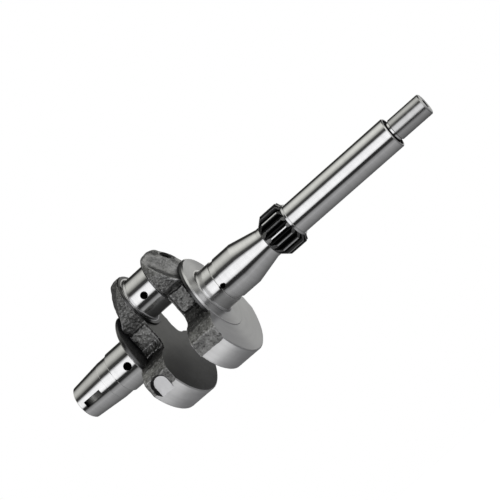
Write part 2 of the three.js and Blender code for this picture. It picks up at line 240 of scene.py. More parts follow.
def scaled(tree, vector, factor):
    """A colour or vector multiplied by a factor."""
    node = add_node(tree, "ShaderNodeVectorMath", {"operation": "SCALE"}, Scale=factor)
    tree.links.new(vector, node.inputs[0])
    return node.outputs[0]


def blend(tree, first, second, mode, factor):
    """Two colours mixed in one of Blender's blend modes."""
    node = add_node(tree, "ShaderNodeMix", {"data_type": "RGBA", "blend_type": mode})
    for socket, value in zip((node.inputs[0], node.inputs[6], node.inputs[7]), (factor, first, second)):
        connect(tree, socket, value)
    return node.outputs[2]


def grey(value, warmth=0.0):
    """A grey in linear light, with a little less blue when warmth is positive."""
    return (value, value, value * (1 - warmth))


# ---- Materials ----


class Axis:
    """Coordinates about a line along X, for marks that run round it. The tangent lies across the marks."""

    def __init__(self, tree, height=0.0):
        self.position = object_position(tree)
        x, y, z = split(tree, self.position)
        z = calc(tree, "SUBTRACT", z, height * MM)
        self.x = x
        self.radius = calc(tree, "SQRT", calc(tree, "MULTIPLY_ADD", y, y, calc(tree, "MULTIPLY", z, z)))
        self.cos = calc(tree, "DIVIDE", y, self.radius)
        self.sin = calc(tree, "DIVIDE", z, self.radius)
        back = calc(tree, "MULTIPLY", z, -1.0)
        around = add_node(tree, "ShaderNodeCombineXYZ", Y=back, Z=y).outputs[0]
        facing = add_node(tree, "ShaderNodeNewGeometry").outputs["Normal"]
        self.tangent = calc(tree, "CROSS_PRODUCT", facing, around, kind="ShaderNodeVectorMath")

    def marks(self, tree, per_mm, run=3.0):
        """Noise drawn out round the axis, with per_mm lines to the millimetre across the marks."""
        lines = per_mm / MM
        vector = add_node(
            tree,
            "ShaderNodeCombineXYZ",
            X=calc(tree, "MULTIPLY", self.x, lines),
            Y=calc(tree, "MULTIPLY", self.radius, lines),
            Z=calc(tree, "MULTIPLY", self.cos, run),
        ).outputs[0]
        turn = calc(tree, "MULTIPLY", self.sin, run)
        return noise(tree, vector, 1.0, detail=2.0, W=turn)


def new_material(name):
    """An empty node material, and its tree."""
    material = bpy.data.materials.new(name)
    material.use_nodes = True
    material.node_tree.nodes.clear()
    return material, material.node_tree


def with_shader(material, **inputs):
    """The material, given a Principled shader with these inputs."""
    tree = material.node_tree
    shader = add_node(tree, "ShaderNodeBsdfPrincipled", **inputs)
    add_node(tree, "ShaderNodeOutputMaterial", Surface=shader.outputs[0])
    return material


def bump(tree, height, depth_mm, strength=1.0, **inputs):
    """A bump whose full height is depth_mm."""
    inputs.update(Height=height, Strength=strength, Distance=depth_mm * MM)
    return add_node(tree, "ShaderNodeBump", **inputs).outputs["Normal"]


def round_steel(name, colour, gloss, anisotropy, marks, height=0.0, corners=1.0):
    """Steel cut or ground round an axis: fine lines round it, clouded gloss and light scuffs from handling.

    gloss is (lowest, highest) roughness, marks is (lines per millimetre, depth in millimetres), and
    corners is how far painted shade darkens the metal in its corners."""
    material, tree = new_material(name)
    axis = Axis(tree, height)
    per_mm, depth = marks
    fine = axis.marks(tree, per_mm)
    coarse = axis.marks(tree, per_mm / 7, run=1.5)
    cloud = noise(tree, axis.position, 60.0)
    scuffs = noise(tree, axis.position, 420.0, detail=5.0, Distortion=1.2)

    shade = calc(tree, "MULTIPLY_ADD", coarse, 0.5, calc(tree, "MULTIPLY", cloud, 0.5))
    base = ramp(tree, shade, [(0.3, tuple(c * 0.86 for c in colour)), (0.62, colour)])
    # Painted shade darkens the metal in its corners.
    if corners < 1:
        base = scaled(tree, base, painted_corner_shade(tree, 5.0, corners))
    worn = spread(tree, scuffs, -0.01, 0.03)
    lines = spread(tree, calc(tree, "MULTIPLY_ADD", fine, 0.5, calc(tree, "MULTIPLY", cloud, 0.5)), *gloss)
    return with_shader(
        material,
        Base_Color=base,
        Metallic=1.0,
        Roughness=calc(tree, "ADD", lines, worn),
        Anisotropic=anisotropy,
        Tangent=axis.tangent,
        Normal=bump(tree, fine, depth, strength=0.5),
    )


def web_zones(tree, position, pad):
    """How light a web's skin is painted from place to place, and where its smooth shoulder is, both 0 to 1.

    Along the heights the skin keeps its own tone with painted shade and highlights, and a painted
    shadow line runs round the raised pad.
    """
    x, _, z = split(tree, scaled(tree, position, 1 / MM))
    drift = spread(tree, noise(tree, position, 150.0), -1.0, 1.0)
    u = calc(tree, "ADD", calc(tree, "ABSOLUTE", x), drift)
    height = calc(tree, "ADD", z, drift)

    lowest, highest = WEB_TONE_AND_LIGHT[0][0], WEB_TONE_AND_LIGHT[-1][0]
    stops = [((level - lowest) / (highest - lowest), grey(tone)) for level, tone in WEB_TONE_AND_LIGHT]
    band = ramp(tree, remap(tree, height, (lowest, highest), (0, 1)), stops)

    beside = []
    for value, (start, end) in ((u, (pad["inner"], pad["outer"])), (height, (pad["foot"], pad["top"]))):
        middle = calc(tree, "ABSOLUTE", calc(tree, "SUBTRACT", value, (start + end) / 2))
        beside.append(calc(tree, "SUBTRACT", middle, (end - start) / 2))
    outside = calc(tree, "MAXIMUM", *beside)
    # A painted shadow line runs just outside the pad's edge, darker than the skin on either side.
    rim = [(0.0, grey(0.85)), (0.2, grey(0.8)), (0.42, grey(0.34)), (0.6, grey(0.36)), (1.0, grey(1.0))]
    groove = ramp(tree, remap(tree, outside, (-2.0, 4.0), (0, 1)), rim)

    above = calc(tree, "MULTIPLY_ADD", z, RIDGE["slope"], u)
    ridge = RIDGE["x"] + RIDGE["slope"] * RIDGE["z"]
    smooth = remap(tree, above, (ridge - 0.6, ridge + 1.0), (0, 1))
    return blend(tree, band, groove, "MULTIPLY", 1.0), smooth


def forged_steel(name, dark, light, grain=1.0, corners=0.12, end=None, fade=None, wear_and_glint=1.0):
    """Blasted forging skin: mottled scale, pits, painted shade in its recesses, and bright edges.

    The bright edges are partly metal worn bright and partly a painted highlight. Given an end, the skin
    also has the lighter and darker places of that end's web, partly its own tone and partly painted
    light. fade is (height, height, factor): the skin darkens by the factor from the first height down to
    the second, as painted shade. wear is how much of its edges is painted bright."""
    material, tree = new_material(name)
    position = object_position(tree)
    patches = noise(tree, position, 110.0, detail=4.0)
    mottle = noise(tree, position, 620.0, detail=5.0, roughness=0.7)
    pits = add_node(tree, "ShaderNodeTexVoronoi", Vector=position, Scale=700.0).outputs["Distance"]
    blasted = noise(tree, position, 2600.0, detail=2.0)

    mixed = calc(tree, "MULTIPLY_ADD", patches, 0.35, calc(tree, "MULTIPLY", mottle, 0.65))
    tones = [(0.38, grey(dark)), (0.5, grey((dark + light) / 2, 0.04)), (0.62, grey(light, 0.03))]
    skin = ramp(tree, mixed, tones)
    rough = spread(tree, mottle, 0.3, 0.5)
    if fade:
        start, stop, factor = fade
        height = split(tree, position)["Z"]
        skin = scaled(tree, skin, remap(tree, height, (stop * MM, start * MM), (factor, 1)))
    grain_here = 1.0
    if end:
        zones, smooth = web_zones(tree, position, PADS[end])
        skin = blend(tree, skin, zones, "MULTIPLY", 1.0)
        # The smooth shoulder gets painted light, lighter on the rear web than on the front one.
        tone = SHOULDER_PAINTED_LIGHT[end]
        shoulder = ramp(tree, mixed, [(0.38, grey(tone * 0.5)), (0.62, grey(tone * 1.4))])
        skin = blend(tree, skin, shoulder, "MIX", smooth)
        grain_here = remap(tree, smooth, (0, 1), (1, 0.25))
    # Painted shade darkens the skin in its corners.
    skin = scaled(tree, skin, painted_corner_shade(tree, 14.0, corners))
    # Edges are painted bright: partly metal worn bright, partly a painted highlight.
    point = add_node(tree, "ShaderNodeNewGeometry").outputs["Pointiness"]
    edge_wear_and_glint = ramp(tree, point, [(0.505, grey(0.0)), (0.56, grey(1.0))])
    edge = calc(tree, "MULTIPLY", edge_wear_and_glint, spread(tree, mottle, 0.1 * wear_and_glint, 0.9 * wear_and_glint))
    worn = blend(tree, skin, (*grey(light * 1.8), 1.0), "MIX", edge)

    height = calc(tree, "MULTIPLY_ADD", pits, 0.4, calc(tree, "MULTIPLY", mottle, 0.8))
    coarse = bump(tree, height, 0.5 * grain, strength=grain_here)
    return with_shader(
        material,
        Base_Color=worn,
        Metallic=0.85,
        Roughness=rough,
        Normal=bump(tree, blasted, 0.05 * grain, strength=0.6, Normal=coarse),
    )


def shaded_hollow_steel(name):
    """Inside of a drilling, and other hollows: painted near black as shade, with blotchy gloss."""
    material, tree = new_material(name)
    position = object_position(tree)
    blotches = noise(tree, position, 500.0, detail=4.0)
    return with_shader(
        material,
        Base_Color=ramp(tree, blotches, [(0.3, grey(0.004)), (0.7, grey(0.02))]),
        Metallic=0.6,
        Roughness=spread(tree, blotches, 0.35, 0.6),
        Normal=bump(tree, blotches, 0.05),
    )


def toothed_steel(name):
    """Hobbed tooth spaces: painted near black at the root as shade in the deep spaces, lighter steel
    towards the tips.
    """
    material, tree = new_material(name)
    axis = Axis(tree)
    blotches = noise(tree, axis.position, 700.0, detail=4.0)
    rise = remap(tree, axis.radius, (17.0 * MM, 19.0 * MM), (0, 0.75))
    lightness = calc(tree, "MULTIPLY_ADD", blotches, 0.25, rise)
    strokes = noise(tree, axis.position, 1500.0, detail=2.0)
    return with_shader(
        material,
        Base_Color=ramp(tree, lightness, [(0.15, grey(0.006)), (0.7, grey(0.02)), (1.0, grey(0.3))]),
        Metallic=0.9,
        Roughness=spread(tree, blotches, 0.26, 0.42),
        Normal=bump(tree, strokes, 0.02),
    )


def slot_steel(name):
    """Milled key slot: cutter streaks across it, lighter in the middle and near black at its ends."""
    material, tree = new_material(name)
    position = object_position(tree)
    x = split(tree, position)["X"]
    along = remap(tree, x, (KEY_SLOT["start"] * MM, KEY_SLOT["end"] * MM), (0, 1))
    tones = [(0.03, 0.006), (0.22, 0.06), (0.45, 0.34), (0.62, 0.16), (0.85, 0.07), (0.94, 0.006)]
    lightness = ramp(tree, along, [(place, grey(tone, 0.05)) for place, tone in tones])
    lines = 900.0
    cuts = add_node(tree, "ShaderNodeCombineXYZ", X=calc(tree, "MULTIPLY", x, lines)).outputs[0]
    streaks = noise(tree, cuts, 1.0)
    return with_shader(
        material,
        Base_Color=scaled(tree, lightness, spread(tree, streaks, 0.45, 1.0)),
        Metallic=1.0,
        Roughness=spread(tree, noise(tree, position, 500.0), 0.3, 0.45),
        Normal=bump(tree, streaks, 0.03),
    )


BRIGHT = {"colour": grey(0.78, 0.01), "gloss": (0.09, 0.14), "anisotropy": 0.5, "marks": (2.2, 0.004)}
GROUND = round_steel("ground_steel", **BRIGHT)
PIN_GROUND = round_steel("ground_steel_pin", height=THROW, **BRIGHT)
TURNED = round_steel("turned_steel", grey(0.62), (0.3, 0.38), 0.85, (2.2, 0.012), corners=0.3)
RIM = round_steel("turned_rim_steel", grey(0.7), (0.44, 0.52), 0.3, (2.2, 0.012))
# The faced steel is painted dark grey as shade: it covers the rod thrust faces beside the pin and the edges
# of the thrust discs.
FACED = {"colour": grey(0.1), "gloss": (0.26, 0.34), "anisotropy": 0.5, "marks": (2.2, 0.01)}
ROD_FACE_STEEL = round_steel("rod_face_steel", height=THROW, corners=0.15, **FACED)
DISC_EDGE_STEEL = round_steel("disc_edge_steel", corners=0.3, **FACED)
ROLLED = {"colour": grey(0.7), "gloss": (0.2, 0.28), "anisotropy": 0.5, "marks": (2.2, 0.004)}
FILLET_STEEL = round_steel("rolled_fillet_steel", corners=0.3, **ROLLED)
PIN_FILLET_STEEL = round_steel("rolled_fillet_steel_pin", height=THROW, corners=0.3, **ROLLED)
SPIGOT_STEEL = round_steel("spigot_steel", grey(0.56, 0.01), (0.2, 0.26), 0.3, (2.2, 0.006))
MILLED = slot_steel("milled_slot_steel")
# One forged material per end: they differ in where the pad lies and in the painted light on the shoulder.
FORGED = {end: forged_steel(f"forged_steel_{end}", 0.06, 0.40, corners=0.3, end=end) for end in PADS}
# The hidden back faces of the thrust discs: dark scale, painted near black as shade, and darker still from
# 21 mm down to 15 mm as painted shade.
SCALE = forged_steel("scale_and_shade_steel", 0.05, 0.2, corners=0.05, fade=(21, 15, 0.1))
# The inner faces keep their own dark blasted tone, and are painted darker towards the bottom as shade
# between the counterweights.
BLASTED = forged_steel(
    "blasted_face_steel", 0.12, 0.17, grain=0.15, corners=0.5, fade=(-10, -55, 0.12), wear_and_glint=0.0
)
# Drillings, grooves and the notch's walls are painted near black as shade.
DRILLED = shaded_hollow_steel("shaded_hollow_steel")
TOOTHED = toothed_steel("hobbed_steel")
LANDS = round_steel("gear_land_steel", grey(0.72), (0.12, 0.18), 0.4, (3.0, 0.004))
GEAR_ENDS = round_steel("gear_end_steel", grey(0.22), (0.25, 0.35), 0.3, (3.0, 0.01), corners=0.3)
PLUG_STEEL = round_steel("plug_steel", grey(0.2), (0.35, 0.5), 0.0, (3.0, 0.02), corners=0.3)


# ---- Mesh helpers ----


def as_object(name, mesh, materials=()):
    """A mesh or bmesh as a linked object, in millimetres, with its material slots."""
    if isinstance(mesh, bmesh.types.BMesh):
        built = bpy.data.meshes.new(name)
        bmesh.ops.recalc_face_normals(mesh, faces=mesh.faces)
        mesh.to_mesh(built)
        mesh.free()
        mesh = built
    for material in materials:
        mesh.materials.append(material)
    thing = bpy.data.objects.new(name, mesh)
    bpy.context.scene.collection.objects.link(thing)
    return thing


def cut(piece, cutter, operation="DIFFERENCE"):
    """Applies a Boolean of two mesh objects to the first, and removes the second."""
    modifier = piece.modifiers.new("cut", "BOOLEAN")
    modifier.object = cutter
    modifier.operation = operation
    modifier.solver = "MANIFOLD"
    graph = bpy.context.evaluated_depsgraph_get()
    result = bpy.data.meshes.new_from_object(piece.evaluated_get(graph))
    piece.modifiers.clear()
    piece.data = result
    bpy.data.objects.remove(cutter)


def mark_machined_edges(mesh):
    """Sharp edges where a cut meets the forged skin or another cut, and soft ones within the skin.

    Corners that only two edges share go first, as faces there would split into matching triangles."""
    smallest = 0.005
    skin_limit, cut_limit = math.radians(70), math.radians(25)
    bm = bmesh.new()
    bm.from_mesh(mesh)
    bmesh.ops.dissolve_degenerate(bm, dist=smallest, edges=bm.edges)
    for _ in range(3):
        idle = [vert for vert in bm.verts if len(vert.link_edges) == 2]
        bmesh.ops.dissolve_verts(bm, verts=idle)
    for edge in bm.edges:
        indices = {face.material_index for face in edge.link_faces}
        limit = skin_limit if indices == {SKIN} else cut_limit
        edge.smooth = len(indices) == 1 and edge.calc_face_angle(0) < limit
    bm.to_mesh(mesh)
    bm.free()


def finish_piece(node, piece, sharp_degrees=32):
    """Scales a piece to metres, sets its shading, and lets it stand for a CAD node.

    Without sharp_degrees, the piece keeps the sharp edges that it has."""
    piece.name = f"{node}_finish"
    mesh = piece.data
    mesh.transform(Matrix.Scale(MM, 4))
    mesh.polygons.foreach_set("use_smooth", [True] * len(mesh.polygons))
    if sharp_degrees:
        mesh.set_sharp_from_angle(angle=math.radians(sharp_degrees))
    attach(piece, "root")
    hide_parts(node)


def lathe(profile, height=0.0, steps=STEPS):
    """Closed surface of revolution about a line along X, from (x, radius, material index) points.

    The index belongs to the surface that leads on to the next point, and height is the line's z."""
    bm = bmesh.new()
    rings = []
    for x, radius, _ in profile:
        count = steps if radius > 0 else 1
        angles = [2 * math.pi * i / count for i in range(count)]
        rings.append(
            [bm.verts.new((x, radius * math.cos(a), height + radius * math.sin(a))) for a in angles]
        )
    for near, far, (_, _, index) in zip(rings, rings[1:], profile):
        for i in range(steps):
            j = (i + 1) % steps
            corners = [near[i % len(near)], near[j % len(near)], far[j % len(far)], far[i % len(far)]]
            bm.faces.new(dict.fromkeys(corners)).material_index = index
    return bm


def solid_profile(points, index=0):
    """Closes (x, radius) points to the axis at both ends, all on one material."""
    ends = [(points[0][0], 0), *points, (points[-1][0], 0)]
    return [(x, radius, index) for x, radius in ends]


def prism(outline, start, end, index=0, end_outline=None):
    """(y, z) outline extruded along X between two stations, where it may change to another outline."""
    bm = bmesh.new()
    sections = ((start, outline), (end, end_outline or outline))
    rings = [[bm.verts.new((x, y, z)) for y, z in section] for x, section in sections]
    bm.faces.new(rings[0])
    bm.faces.new(rings[1])
    for i in range(len(outline)):
        j = (i + 1) % len(outline)
        bm.faces.new((rings[0][i], rings[0][j], rings[1][j], rings[1][i]))
    for face in bm.faces:
        face.material_index = index
    return bm


def block(corner, opposite, index=0):
    """Box between two corners."""
    (x0, y0, z0), (x1, y1, z1) = corner, opposite
    return prism([(y0, z0), (y1, z0), (y1, z1), (y0, z1)], x0, x1, index)


def fillet(face, radius, size, side, steps=8):
    """Root fillet from a face down to a shaft that leaves towards side, as (x, radius) points."""
    angles = [math.pi / 2 * i / steps for i in range(steps + 1)]
    return [
        (face + side * size * (1 - math.cos(a)), radius + size * (1 - math.sin(a))) for a in angles
    ]


def drill(start, end, radius, countersink=0.3, index=1):
    """Cutter for a round drilling from a point on a surface, with its broken edge, to a point inside."""
    start, end = Vector(start), Vector(end)
    length = (end - start).length
    outside = 6.0
    points = [(-outside, radius + countersink + outside), (countersink, radius), (length, radius)]
    bm = lathe(solid_profile(points, index), steps=64)
    turn = Vector((1, 0, 0)).rotation_difference(end - start).to_matrix().to_4x4()
    bm.transform(Matrix.Translation(start) @ turn)
    return as_object("drill", bm)


def radial_drill(hole, surface, height=0.0):
    """Cutter for an oil hole that enters a journal near its -Y side and stops past the middle."""
    turn = Matrix.Rotation(hole["turn"], 3, "X")
    lift = Vector((0, 0, height))
    start = turn @ Vector((hole["x"], -surface, 0)) + lift
    end = turn @ Vector((hole["x"], 2.5, 0)) + lift
    return drill(start, end, hole["radius"], countersink=0.25)


# ---- Ground sections ----


def make_section(node, points, hole=None, surface=0.0, steel=GROUND, height=0.0):
    """A ground section from (x, radius) points, with an oil hole where one is given.

    surface is the radius that the hole starts on."""
    piece = as_object(node, lathe(solid_profile(points), height), [steel, DRILLED])
    if hole:
        cut(piece, radial_drill(hole, surface, height))
    finish_piece(node, piece)


def make_front_sections():
    groove = 0.15
    land = [
        (LAND_START, LAND_RADIUS - groove),
        (LAND_START + groove, LAND_RADIUS),
        (FRONT_JOURNAL_START, LAND_RADIUS),
    ]
    make_section("front_seal_land", land)

    chamfer = 0.9
    journal = [
        (FRONT_JOURNAL_START, JOURNAL_RADIUS - chamfer),
        (FRONT_JOURNAL_START + chamfer, JOURNAL_RADIUS),
        (-DISC_OUTER - ROOT_FILLET, JOURNAL_RADIUS),
    ]
    make_section("front_main_journal", journal, FRONT_OIL_HOLE, JOURNAL_RADIUS)


def make_crankpin():
    end = ROD_FACE - ROOT_FILLET
    points = [(-end, PIN_RADIUS), (end, PIN_RADIUS)]
    make_section("crankpin", points, PIN_OIL_HOLE, PIN_RADIUS, PIN_GROUND, THROW)


def make_rear_sections():
    groove = OIL_GROOVE
    side = 0.4
    journal = [
        (DISC_OUTER + ROOT_FILLET, JOURNAL_RADIUS),
        (groove["start"], JOURNAL_RADIUS),
        (groove["start"] + side, groove["radius"]),
        (groove["end"] - side, groove["radius"]),
        (groove["end"], JOURNAL_RADIUS),
        (CONE_START, JOURNAL_RADIUS),
    ]
    make_section("rear_main_journal", journal, REAR_OIL_HOLE, groove["radius"])
    make_section("journal_cone", [(CONE_START, JOURNAL_RADIUS), (NECK_START, NECK_RADIUS)])
    make_section("gear_neck", [(NECK_START, NECK_RADIUS), (GEAR_START, NECK_RADIUS)])


# ---- Flywheel end ----


def make_flywheel_taper():
    chamfer = 0.8
    bore_floor = LAND_START - 1
    sink = FLYWHEEL_SINK - FLYWHEEL_BORE
    profile = [
        (bore_floor, 0, 1),
        (bore_floor, FLYWHEEL_BORE, 1),
        (TAPER_START + sink, FLYWHEEL_BORE, 0),
        (TAPER_START, FLYWHEEL_SINK, 2),
        (TAPER_START, TAPER_SMALL_RADIUS - chamfer, 0),
        (TAPER_START + chamfer, TAPER_SMALL_RADIUS, 0),
        (LAND_START - 0.15, LAND_RADIUS, 0),
        (LAND_START, LAND_RADIUS - 0.15, 0),
        (LAND_START, 0, 0),
    ]
    piece = as_object("taper", lathe(profile), [GROUND, DRILLED, TURNED, MILLED])
    half = KEY_SLOT["width"] / 2
    slot = block((KEY_SLOT["start"], -REACH, -half), (KEY_SLOT["end"], -KEY_SLOT["floor"], half), 3)
    slot.transform(Matrix.Rotation(KEY_SLOT["turn"], 4, "X"))
    cut(piece, as_object("slot", slot))
    finish_piece("flywheel_taper", piece)


# ---- Output end ----


def make_output_shaft():
    chamfer = 0.7
    face_groove = 1.2
    profile = [
        (SHAFT_START, 0, 0),
        (SHAFT_START, SHAFT_RADIUS, 0),
        (SHOULDER_FACE - chamfer, SHAFT_RADIUS, 0),
        (SHOULDER_FACE, SHAFT_RADIUS - chamfer, 2),
        # The face groove takes the hollows' near-black finish, painted shade.
        (SHOULDER_FACE, SHAFT_RADIUS - 1.6, 1),
        (SHOULDER_FACE - face_groove, SHAFT_RADIUS - 2.2, 1),
        (SHOULDER_FACE - face_groove, SPIGOT_UNDERCUT + 0.4, 1),
        (SHOULDER_FACE - face_groove + 0.4, SPIGOT_UNDERCUT, 1),
        (SHOULDER_FACE + 0.8, SPIGOT_UNDERCUT, 0),
        (SPIGOT_START, SPIGOT_UNDERCUT, 0),
        (SPIGOT_START, 0, 0),
    ]
    piece = as_object("shaft", lathe(profile), [GROUND, DRILLED, TURNED])
    finish_piece("output_shaft", piece)


def make_output_spigot():
    chamfer = 0.8
    hole = CENTRE_HOLE
    tip = hole["radius"] * 0.6
    profile = [
        (SPIGOT_START, 0, 0),
        (SPIGOT_START, SPIGOT_UNDERCUT, 0),
        (SPIGOT_START + 0.5, SPIGOT_RADIUS, 0),
        (SPIGOT_END - chamfer, SPIGOT_RADIUS, 0),
        (SPIGOT_END, SPIGOT_RADIUS - chamfer, 2),
        (SPIGOT_END, hole["sink"], 1),
        (SPIGOT_END - (hole["sink"] - hole["radius"]) * 1.7, hole["radius"], 1),
        (SPIGOT_END - hole["depth"], hole["radius"], 1),
        (SPIGOT_END - hole["depth"] - tip, 0, 1),
    ]
    piece = as_object("spigot", lathe(profile), [SPIGOT_STEEL, DRILLED, TURNED])
    finish_piece("output_spigot", piece)


# ---- Timing gear ----


def tooth_side():
    """One side of a tooth, root to tip, as (radius, half angle) points: root fillet, then involute."""
    pitch = MODULE * TEETH / 2
    base = pitch * math.cos(PRESSURE_ANGLE)
    tip = pitch + MODULE
    root = pitch - 1.25 * MODULE

    def involute(radius):
        pressure = math.acos(base / radius)
        return math.tan(pressure) - pressure

    def half_angle(radius):
        return math.pi / (2 * TEETH) + involute(pitch) - involute(radius)

    rounding = 0.7
    side = []
    for i in range(5):
        angle = math.pi / 2 * i / 4
        radius = root + rounding * (1 - math.cos(angle))
        side.append((radius, half_angle(base) + rounding / root * (1 - math.sin(angle))))
    relief = 0.35
    for i in range(9):
        radius = base + (tip - relief - base) * i / 8
        side.append((radius, half_angle(radius)))
    land = half_angle(tip) - relief * 0.7 / tip
    side += [(tip, land), (tip + 1, land)]
    return side


def make_timing_gear():
    side = tooth_side()
    outline = []
    for tooth in range(TEETH):
        middle = math.pi + 2 * math.pi * tooth / TEETH
        rising = [(radius, middle - half) for radius, half in side]
        falling = [(radius, middle + half) for radius, half in reversed(side)]
        outline += [(r * math.cos(a), r * math.sin(a)) for r, a in rising + falling]
    overrun = 3
    teeth = prism(outline, GEAR_START - overrun, SHAFT_START + overrun, 1)
    blank = as_object("gear", teeth, [LANDS, TOOTHED, GEAR_ENDS])
    tip = MODULE * (TEETH + 2) / 2
    root = MODULE * (TEETH - 2.5) / 2
    ring = 1.9
    collar = [
        (GEAR_START, 0, 0),
        (GEAR_START, NECK_RADIUS, 2),
        (GEAR_START + GEAR_CHAMFER_FRONT, tip, 0),
        (SHAFT_START - GEAR_CHAMFER_REAR, tip, 2),
        (SHAFT_START - ring, root - 0.05, 0),
        (SHAFT_START - 0.3, root - 0.05, 0),
        (SHAFT_START, root - 0.35, 0),
        (SHAFT_START, 0, 0),
    ]
    cut(blank, as_object("collar", lathe(collar)), "INTERSECT")
    finish_piece("timing_gear", blank, sharp_degrees=25)


# ---- Crank throw: turned pieces ----


def gallery_line(side):
    """Mouth of a gallery on the conical shoulder, and the unit vector that runs into it."""
    depth = DISC_INNER - (GALLERY_MOUTH_RADIUS - DISC_RADIUS) * SHOULDER_SLOPE
    mouth = Vector((side * depth, 0, GALLERY_MOUTH_RADIUS))
    foot = Vector((FRONT_OIL_HOLE["x"] if side > 0 else REAR_OIL_HOLE["x"], 0, 0))
    return mouth, (foot - mouth).normalized()


def make_thrust_disc(end, side):
    foot = DISC_OUTER + ROOT_FILLET
    points = [
        # The hidden back face takes the near-black scale and the edge the dark faced steel, both painted
        # shade.
        (DISC_INNER, 0, 1),
        (DISC_INNER, DISC_RADIUS - 0.8, 3),
        (DISC_INNER + 0.5, DISC_RADIUS - 0.1, 3),
        (DISC_OUTER - DISC_CHAMFER, DISC_RADIUS - 0.1, 2),
        (DISC_OUTER, DISC_RADIUS - DISC_CHAMFER, 0),
        *[(x, radius, 2) for x, radius in fillet(DISC_OUTER, JOURNAL_RADIUS, ROOT_FILLET, 1)],
        (foot, 0, 2),
    ]
    profile = [(side * x, radius, index) for x, radius, index in points]
    piece = as_object("disc", lathe(profile), [TURNED, SCALE, FILLET_STEEL, DISC_EDGE_STEEL])
    finish_piece(f"{end}_thrust_disc", piece)


def make_rod_thrust_face(end, side):
    chamfer = 0.35
    ring = LOBE_RADIUS - 0.5
    points = [
        (WEB_INNER, 0),
        (WEB_INNER, ring),
        (ROD_FACE + chamfer, ring),
        (ROD_FACE, ring - chamfer),
        *fillet(ROD_FACE, PIN_RADIUS, ROOT_FILLET, -1),
        (ROD_FACE - ROOT_FILLET, 0),
    ]
    # The ring and its face take the dark faced steel, painted shade beside the pin.
    ring_points = 4
    profile = [(side * x, radius, int(i < ring_points)) for i, (x, radius) in enumerate(points)]
    piece = as_object("rod_face", lathe(profile, THROW), [PIN_FILLET_STEEL, ROD_FACE_STEEL])
    finish_piece(f"{end}_rod_thrust_face", piece)


def make_gallery_plug(end, side):
    """A pressed cup plug: a dished face inside a rounded rim."""
    mouth, inwards = gallery_line(side)
    rim = PLUG["radius"]
    dish = [(1.1 * (1 - (radius / rim) ** 2), radius) for radius in (0, 0.8, 1.6, 2.3, 2.9)]
    edge = [(0.0, rim - 0.5), (0.15, rim - 0.15), (0.5, rim)]
    back = [(PLUG["length"], rim), (PLUG["length"], 0)]
    bm = lathe([(x, radius, 0) for x, radius in (*dish, *edge, *back)], steps=64)
    turn = Vector((1, 0, 0)).rotation_difference(inwards).to_matrix().to_4x4()
    bm.transform(Matrix.Translation(mouth + inwards * PLUG["sunk"]) @ turn)
    finish_piece(f"{end}_gallery_plug", as_object("plug", bm, [PLUG_STEEL]))


# ---- Crank throw: forgings ----


def arc(centre, radius, start, end, steps):
    """(y, z) points on an arc, from one angle to another in degrees."""
    angles = np.radians(np.linspace(start, end, steps))
    return [(centre[0] + radius * math.cos(a), centre[1] + radius * math.sin(a)) for a in angles]


def convex_top(start):
    """Arc from the end of the foot fillet to the flank's corner. It leaves the fillet in line with it."""
    run = FLANK_HALF_WIDTH - start[0]
    drop = start[1] - FLANK_TOP
    turn = 2 * (math.atan2(drop, run) - FOOT_SLOPE)
    radius = math.hypot(run, drop) / 2 / math.sin(turn / 2)
    centre = (start[0] - radius * math.sin(FOOT_SLOPE), start[1] - radius * math.cos(FOOT_SLOPE))
    first = 90 - math.degrees(FOOT_SLOPE)
    return arc(centre, radius, first, first - math.degrees(turn), 20)


def forging_outline():
    """Outline of web and counterweight seen along the main axis, with turning stock on the rim."""
    stock = 2.0
    lobe_foot = -math.degrees(math.acos(NECK_HALF_WIDTH / LOBE_RADIUS))
    fillet_end = 270 - math.degrees(FOOT_SLOPE)
    foot = arc((NECK_HALF_WIDTH + FOOT_FILLET, NECK_FOOT), FOOT_FILLET, 180, fillet_end, 16)
    rim = WEIGHT_RADIUS + stock
    rim_angle = -math.degrees(math.acos(FLANK_HALF_WIDTH / rim))
    half = [
        *arc((0, THROW), LOBE_RADIUS, 90, lobe_foot, 40),
        *foot,
        *convex_top(foot[-1])[1:],
        *arc((0, 0), rim, rim_angle, -90, 40),
    ]
    return half + [(-y, z) for y, z in reversed(half[1:-1])]


def outline_distance(outline, y, z):
    """Signed distance from a closed outline on a grid of points, negative inside."""
    nearest = np.full(np.broadcast(y, z).shape, np.inf)
    inside = np.zeros(nearest.shape, bool)
    for (ay, az), (by, bz) in zip(outline, outline[1:] + outline[:1]):
        run, rise = by - ay, bz - az
        share = np.clip(((y - ay) * run + (z - az) * rise) / (run**2 + rise**2), 0, 1)
        nearest = np.minimum(nearest, np.hypot(y - ay - share * run, z - az - share * rise))
        if rise != 0:
            crossed = (az > z) != (bz > z)
            inside ^= crossed & (y < ay + (z - az) * run / rise)
    return np.where(inside, -nearest, nearest)


def smooth_max(a, b, radius):
    """Maximum of two fields, rounded over a radius where they meet."""
    overlap = np.maximum(radius - np.abs(a - b), 0) / radius
    return np.maximum(a, b) + overlap**2 * radius / 4


def step_up(value, start, end):
    """Smooth rise from 0 at start to 1 at end."""
    share = np.clip((value - start) / (end - start), 0, 1)
    return share * share * (3 - 2 * share)


def window(value, start, end, edge):
    """1 between start and end, falling smoothly to 0 over an edge outside them."""
    return step_up(value, start - edge, start) * (1 - step_up(value, end, end + edge))


